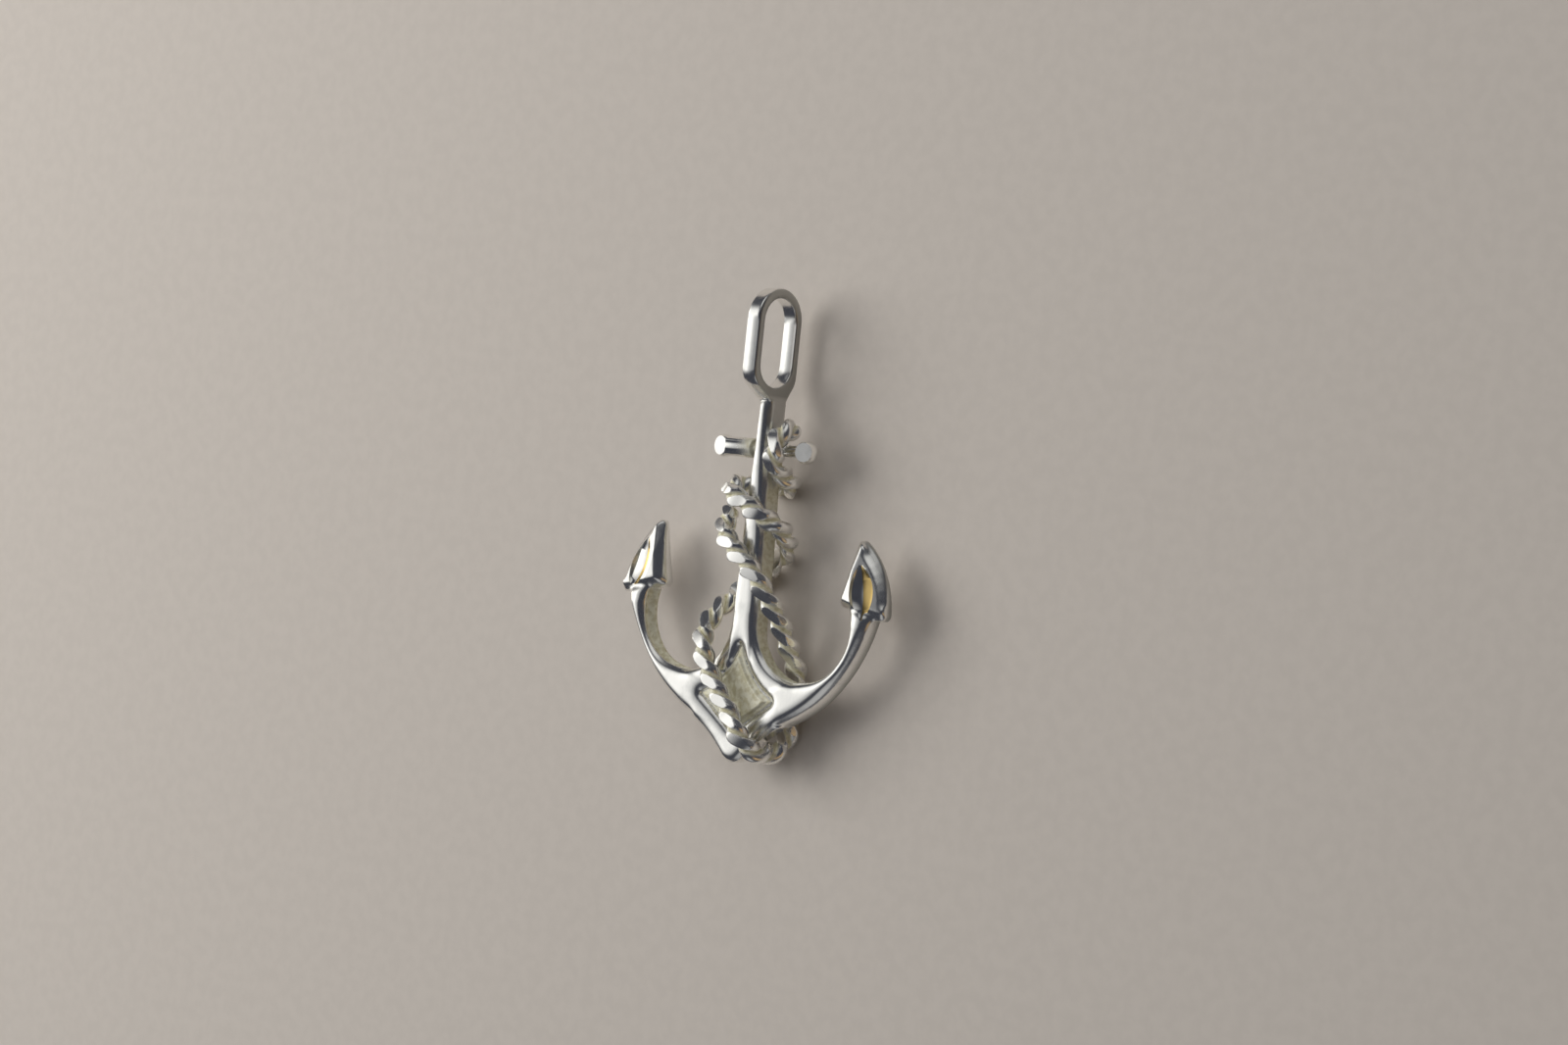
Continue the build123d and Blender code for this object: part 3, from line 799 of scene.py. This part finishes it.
# Studio: a plain pale floor under the pendant, a large soft light from the upper left and a dim
# room that leaves dark reflections in the silver.
floor_size = 1.2
floor_colour = (0.62, 0.57, 0.52, 1.0)
floor_shape = bmesh.new()
bmesh.ops.create_grid(floor_shape, x_segments=4, y_segments=4, size=floor_size)
floor_mesh = bpy.data.meshes.new("floor")
floor_shape.to_mesh(floor_mesh)
floor_shape.free()
floor = new_piece("floor", floor_mesh)
material, tree, shader = new_finish("floor_paper")
place = add_node(tree, "ShaderNodeTexCoord", {}, {}, "Object")
mottle = add_node(tree, "ShaderNodeTexNoise", {}, {"Vector": place, "Scale": 900.0, "Detail": 3.0})
paper = mottle.between(0.3, 0.7).blend(floor_colour, tuple(0.96 * level for level in floor_colour))
tree.links.new(paper.output, shader.inputs["Base Color"])
shader.inputs["Roughness"].default_value = 0.6
floor.data.materials.append(material)


def soft_light(name, direction, distance, size, power, colour):
    """A square soft box that faces the pendant."""
    lamp = bpy.data.lights.new(name, "AREA")
    lamp.shape = "SQUARE"
    lamp.size = size
    lamp.energy = power
    lamp.color = colour
    holder = new_piece(name, lamp)
    outward = Vector(direction).normalized()
    holder.location = outward * distance
    holder.visible_glossy = False
    holder.rotation_euler = outward.to_track_quat("Z", "Y").to_euler()


soft_light("key_light", (-0.76, 0.22, 0.62), 0.42, 0.30, 1.1, (1.0, 0.98, 0.95))
soft_light("fill_light", (0.2, 0.4, 0.9), 0.5, 0.5, 0.5, (1.0, 0.98, 0.95))
window_glow = [
    # (middle, angle of its full part, angle of its edge, colour)
    ((-0.66, 0.10, 0.74), 14, 32, (0.46, 0.46, 0.45)),
    ((-0.87, 0.12, 0.48), 5, 30, (0.90, 0.89, 0.85)),
    ((-0.99, 0.08, 0.11), 5, 13, (1.30, 1.28, 1.20)),
    ((0.05, 0.84, 0.55), 8, 30, (0.60, 0.60, 0.58)),
    ((0.15, -0.86, 0.50), 6, 26, (0.36, 0.36, 0.35)),
    ((0.90, -0.30, 0.30), 6, 20, (0.40, 0.26, 0.10)),
]
world = bpy.data.worlds.new("dim_room")
world.use_nodes = True
bpy.context.scene.world = world
room = world.node_tree
way = add_node(room, "ShaderNodeTexCoord", {}, {}, "Generated")
light = (0.045, 0.048, 0.060, 1.0)
for middle, full, edge, colour in window_glow:
    towards = tuple(Vector(middle).normalized())
    nearness = add_node(
        room, "ShaderNodeVectorMath", {"operation": "DOT_PRODUCT"}, {0: way, 1: towards}, "Value")
    share = nearness.between(math.cos(math.radians(edge)), math.cos(math.radians(full)))
    glow = share.blend((0, 0, 0, 1), colour + (1.0,))
    light = add_node(room, "ShaderNodeMix", {"data_type": "RGBA", "blend_type": "ADD"}, {
        0: 1.0, 6: light, 7: glow}, 2)
room.links.new(light.output, room.nodes["Background"].inputs["Color"])


# Camera: 41 degrees to the right of the pendant's front, level with it, and rolled so that the
# shank leans to the right by 6 degrees, as in the photograph.
view_turn = math.radians(41)
view_roll = math.atan(0.104)
view_distance = 330.0
sensor = 36.0
photo_scale = 13.47
photo_width = 1600
photo_height = 1066
tip_in_photo = (749.1, 778.0)
towards_camera = Vector((math.sin(view_turn), 0, math.cos(view_turn)))
rightward = Vector((math.cos(view_turn), 0, -math.sin(view_turn)))
upward = Vector((0, 1, 0))
screen_right = rightward * math.cos(view_roll) + upward * math.sin(view_roll)
screen_up = upward * math.cos(view_roll) - rightward * math.sin(view_roll)
aim = screen_right * ((photo_width / 2 - tip_in_photo[0]) / photo_scale)
aim += screen_up * ((tip_in_photo[1] - photo_height / 2) / photo_scale)
camera_data = bpy.data.cameras.new("camera")
camera_data.sensor_width = sensor
camera_data.lens = sensor * view_distance / (photo_width / photo_scale)
camera_data.clip_start = 0.01
camera = new_piece("camera", camera_data)
axes = Matrix((screen_right, screen_up, towards_camera)).transposed().to_4x4()
turned_axes = laying @ axes
spot = upright_to_rest @ (aim + towards_camera * view_distance)
camera.matrix_world = Matrix.Translation(spot) @ turned_axes
bpy.context.scene.camera = camera
bpy.context.scene.view_settings.view_transform = "Standard"
